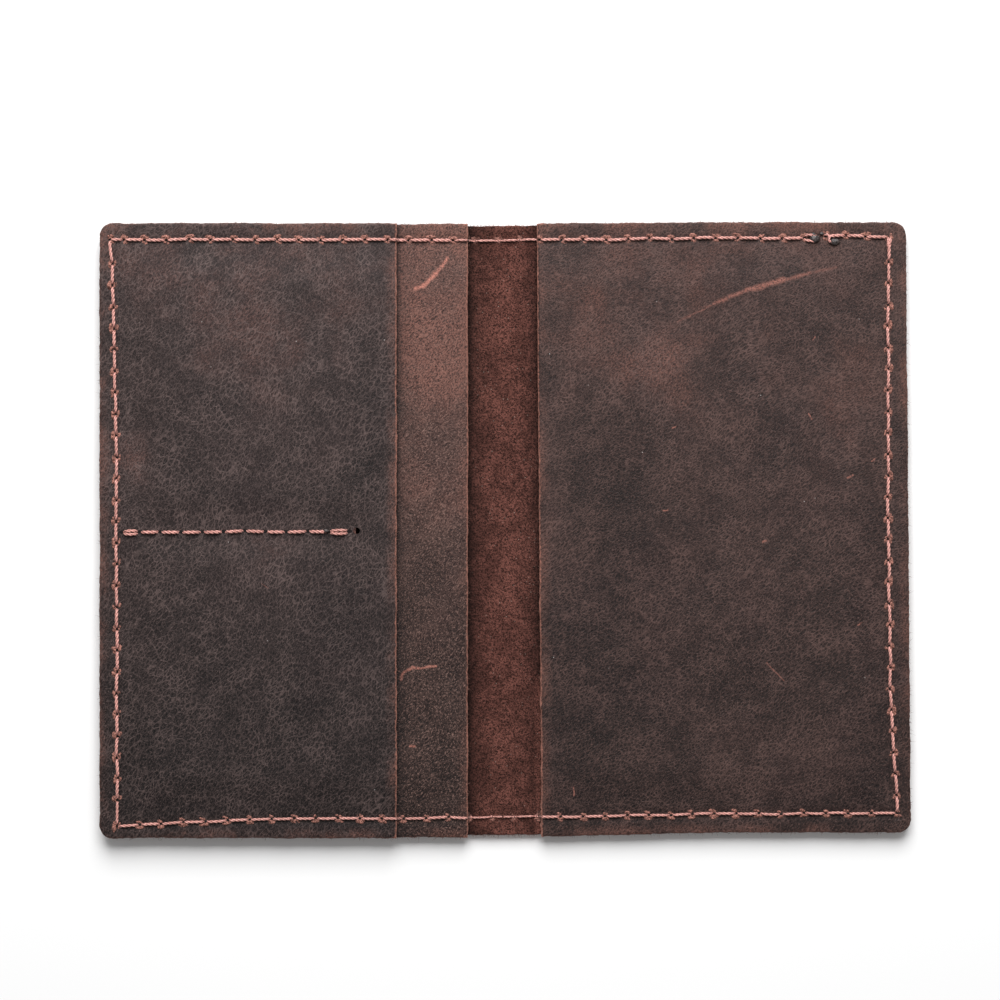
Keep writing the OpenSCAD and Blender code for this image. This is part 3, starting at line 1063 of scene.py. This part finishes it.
def sew(holes, along, out, skipped=None):
    """Sews a line of holes: the inner and outer threads, and the torn leather round each hole."""
    for k, (a, b) in enumerate(zip(holes, holes[1:])):
        scale = thread_scale(a, b)
        phase = rng.uniform(0, 6.3)
        if k != skipped:
            path = stitch_path(a, b, leather_top, rest=0.36, rise=0.14, cuts=CUTS,
                               bow=rng.normal(0, 0.07))
            add_twisted(inner_thread.values(), path, scale, phase, CUTS)
        path = stitch_path(a, b, cover_bottom, rest=0.1, rise=0.08, cuts=CUTS,
                           bow=rng.normal(0, 0.03), dive=0.9, face=-1)
        add_twisted(outer_thread.values(), path, 0.9, phase, CUTS)
    for hole in holes[:-1]:
        strength = 0.35 if abs(hole[0]) < PANEL_EDGE and on_row(hole) else 1.0
        add_stamp(torn[zone_of(hole[0])], hole, along, out, leather_top, strength)
        # on the outer face only the dark discs: painted shade in each hole
        add_stamp(outer_pits[zone_of(hole[0])], hole, along, out, cover_bottom, lips=0.0,
                  pit=(0.62, 0.5), face=-1)


row_holes = {}
column_holes = {}
for side in (1, -1):
    row_holes[side] = [jitter(row_hole(k, side), 0.1) for k in range(STITCHES_LONG + 1)]
for side in (1, -1):
    column = [jitter(column_hole(k, side), 0.09) for k in range(STITCHES_SHORT + 1)]
    end = -1 if side > 0 else 0
    column[0], column[-1] = row_holes[-1][end], row_holes[1][end]
    column_holes[side] = column
# The top row has one short stitch more, at its left end
row_holes[1].insert(1, (row_holes[1][0] + row_holes[1][1]) / 2 - [0.8, 0])
sew(row_holes[1], (1, 0), (0, 1), skipped=OPEN_STITCH)
sew(row_holes[-1][::-1], (-1, 0), (0, -1))
sew(column_holes[-1], (0, 1), (-1, 0))
sew(column_holes[1][::-1], (0, -1), (1, 0))

# The seam's two ends: a loop with a melted end before the open stitch, a knot with another after it


def on_leather(hole, point):
    """A point given as an offset from a hole and a height over the leather."""
    x, y = hole[0] + point[0], hole[1] + point[1]
    px, py = skew(x, y)
    return [float(px), float(py), float(leather_top(x, y)) + point[2]]


def lay_thread(hole, offsets, scale, phase):
    """A loose strand through a few points near a hole, smoothed."""
    points = np.array([on_leather(hole, offset) for offset in offsets], float)
    share = np.linspace(0, len(points) - 1, 6 * len(points))
    path = np.stack([np.interp(share, range(len(points)), points[:, i]) for i in range(3)], axis=1)
    for _ in range(4):
        path[1:-1] = (path[:-2] + 2 * path[1:-1] + path[2:]) / 4
    add_twisted([inner_thread["right"]], path, scale, phase)


before, after, corner = row_holes[1][OPEN_STITCH], row_holes[1][OPEN_STITCH + 1], row_holes[1][-1]
LOOSE_STRANDS = (
    (before, 0.4, ((-0.2, 0.5, -0.4), (0.9, 0.7, 0.6), (2.4, 0.5, 0.6), (3.1, -0.2, 0.5),
                   (2.2, -0.9, 0.4))),
    (before, 1.4, ((-0.4, -0.2, -0.5), (0.6, -0.6, 0.45), (2.0, -0.8, 0.5), (2.6, -0.7, 0.3))),
    (after, 2.2, ((-0.3, 0.3, -0.5), (0.3, 0.5, 0.5), (0.8, -0.1, 0.7), (0.6, -0.9, 0.5),
                  (1.3, -1.5, 0.4))),
)
for hole, phase, offsets in LOOSE_STRANDS:
    lay_thread(hole, offsets, 0.8, phase)
MELTED_ENDS = (
    (before, (2.3, -0.2, 0.5), (1.15, 0.95, 0.55), 71),
    (before, (2.0, 0.7, 0.5), (0.6, 0.55, 0.4), 74),
    (after, (1.9, -1.2, 0.45), (1.1, 0.85, 0.5), 72),
    (after, (-0.9, 0.6, 0.25), (0.5, 0.42, 0.3), 75),
)
for hole, offset, size, seed in MELTED_ENDS:
    add_lump(melted, on_leather(hole, offset), size, seed)
for k in range(3):
    x = 0.25 * (k - 1)
    knot = ((x, -0.1, -0.3), (x + 0.1, -0.7, 0.6 + 0.1 * k), (x - 0.05, -1.7, 0.6), (x, -2.6, -0.3))
    lay_thread(corner, knot, 0.8, k)

# The divider between the two card pockets: its first and last stitches are doubled
holes = [np.array([-DIVIDER_END - k * DIVIDER_PITCH, 0.0]) for k in range(DIVIDER_STITCHES)]
holes.append(np.array([-DIVIDER_START, 0.0]))
holes = [jitter(hole, 0.08) + [0, -0.15 + 0.002 * hole[0]] for hole in holes]
SHORTENED = np.array([0.25, 0])
for k, (a, b) in enumerate(zip(holes, holes[1:])):
    doubled = k in (0, DIVIDER_STITCHES - 1)
    for aside in ((-0.42, 0.36) if doubled else (0.0,)):
        start = a + [0, aside * 0.7] - SHORTENED
        end = b + [0, aside * 0.4] + SHORTENED
        path = stitch_path(start, end, leather_top, rest=0.38, rise=0.16, bow=-aside * 0.5,
                           dive=1.0)
        add_twisted([divider], path, 0.9 if doubled else 1.05, rng.uniform(0, 6))
for hole in holes:
    # the dark discs between the divider's stitches are painted shade in its holes
    add_stamp(divider_torn, hole, (1, 0), (0, 1), leather_top, lips=0.15, pit=(0.8, 0.5),
              pit_at=(0.0, 0.1))
add_lump(divider_melted, on_leather(holes[1], (-0.5, 0.25, 0.4)), (0.8, 0.45, 0.4), 73)

for zone in ZONES:
    body = zone.split("_")[0]
    for face, thread in (("inner", inner_thread), ("outer", outer_thread)):
        piece = thread[zone].build(face + "_seam_" + zone, [THREAD])
        follow(piece, zone, "thread", face + "_thread_" + body)
    follow(torn[zone].build("torn_holes_" + zone, [TORN]), zone, "cover_leather")
    follow(outer_pits[zone].build("outer_holes_" + zone, [TORN]), zone, "cover_leather")
follow(divider.build("divider_seam", [THREAD]), "left", "thread",
       "divider_front_thread", "divider_back_thread")
follow(divider_torn.build("divider_holes", [TORN]), "left", "panel_leather")

# Loose fibres along the raw edges
fuzz = {zone: Piece() for zone in ("left", "right", "spine_left", "spine_right")}


def fringe(piece, x_from, x_to, y_from, y_to, z, direction, count):
    """Fibres at random places along a line at height z, sticking out in that direction."""
    for _ in range(count):
        t = rng.uniform()
        x, y = x_from + (x_to - x_from) * t, y_from + (y_to - y_from) * t
        px, py = skew(np.float64(x), np.float64(y))
        tilt = np.array([rng.normal(0, 0.6), rng.normal(0, 0.6), rng.uniform(-0.2, 0.4)])
        base = np.array([px, py, z + rng.uniform(-0.3, 0.3)])
        length, thickness = rng.uniform(0.3, 1.0), rng.uniform(0.03, 0.055)
        add_fibre(piece, base, np.array(direction) + tilt, length, thickness)


STACK_Z, SPINE_Z, PANEL_Z, CARD_FRINGE_Z = 2.2, 1.2, 2.8, 4.3   # heights of the raw edges' fibres
SIDE_FRINGE, PANEL_FRINGE = 66, 69   # half lengths of the fringes on the sides and free edges
for side, x_out, panel in (("left", -HALF_W, -PANEL_EDGE), ("right", HALF_W, PANEL_EDGE)):
    piece = fuzz[side]
    sign = math.copysign(1, x_out)
    fringe(piece, x_out, x_out, -SIDE_FRINGE, SIDE_FRINGE, STACK_Z, (sign, 0, 0), 130)
    fringe(piece, panel, x_out * 0.98, HALF_H, HALF_H, STACK_Z, (0, 1, 0), 110)
    fringe(piece, panel, x_out * 0.98, -HALF_H, -HALF_H, STACK_Z, (0, -1, 0), 110)
    fringe(piece, panel, panel, -PANEL_FRINGE, PANEL_FRINGE, PANEL_Z, (-sign, 0, 0), 150)
for zone, x_from in (("spine_left", -PANEL_EDGE), ("spine_right", 0.0)):
    for y in (-HALF_H + 0.5, HALF_H - 0.5):
        fringe(fuzz[zone], x_from, x_from + PANEL_EDGE, y, y, SPINE_Z,
               (0, math.copysign(1, y), 0.2), 60)
fringe(fuzz["left"], -CARD_EDGE, -CARD_EDGE, -PANEL_FRINGE, PANEL_FRINGE, CARD_FRINGE_Z,
       (1, 0, 0), 130)
for zone, piece in fuzz.items():
    follow(piece.build("edge_fibres_" + zone, [RAW]), zone, "cover_leather")
follow(melted.build("melted_ends", [MELTED]), "right", "thread")
follow(divider_melted.build("divider_melted_end", [MELTED]), "left", "thread")

# Stage, light and camera

# The floor is a little below the wallet, clear of the outer thread
bpy.ops.mesh.primitive_plane_add(size=6, location=(0, 0, -0.3 * MM))
floor = bpy.context.object
floor.name = "floor"
floor.data.materials.append(make_floor())


def add_light(name, place, target, size, power):
    """A soft square lamp aimed at a point, in metres."""
    lamp = bpy.data.lights.new(name, "AREA")
    lamp.shape = "SQUARE"
    lamp.size = size
    lamp.energy = power
    lamp_object = bpy.data.objects.new(name, lamp)
    bpy.context.scene.collection.objects.link(lamp_object)
    lamp_object.location = place
    aim = lamp_object.location - Vector(target)
    lamp_object.rotation_euler = aim.to_track_quat("Z", "Y").to_euler()


add_light("key", (0.0, 0.64, 0.64), (0, 0, 0), 0.7, 13.6)
world = bpy.data.worlds.new("studio")
world.use_nodes = True
sky = world.node_tree.nodes["Background"].inputs
sky["Color"].default_value = (1, 1, 1, 1)
sky["Strength"].default_value = 0.31
bpy.context.scene.world = world
bpy.context.scene.view_settings.view_transform = "Standard"

FIELD = 0.228          # width of what the camera sees at the height of the leather
CAMERA_AT = (-0.0008, 0.007, 0.65)
LEATHER_HEIGHT = 0.0035
camera_data = bpy.data.cameras.new("camera")
camera_data.sensor_width = 36
camera_data.lens = 36 * (CAMERA_AT[2] - LEATHER_HEIGHT) / FIELD
camera_data.clip_end = 10
camera = bpy.data.objects.new("camera", camera_data)
camera.location = CAMERA_AT
bpy.context.scene.collection.objects.link(camera)
bpy.context.scene.camera = camera
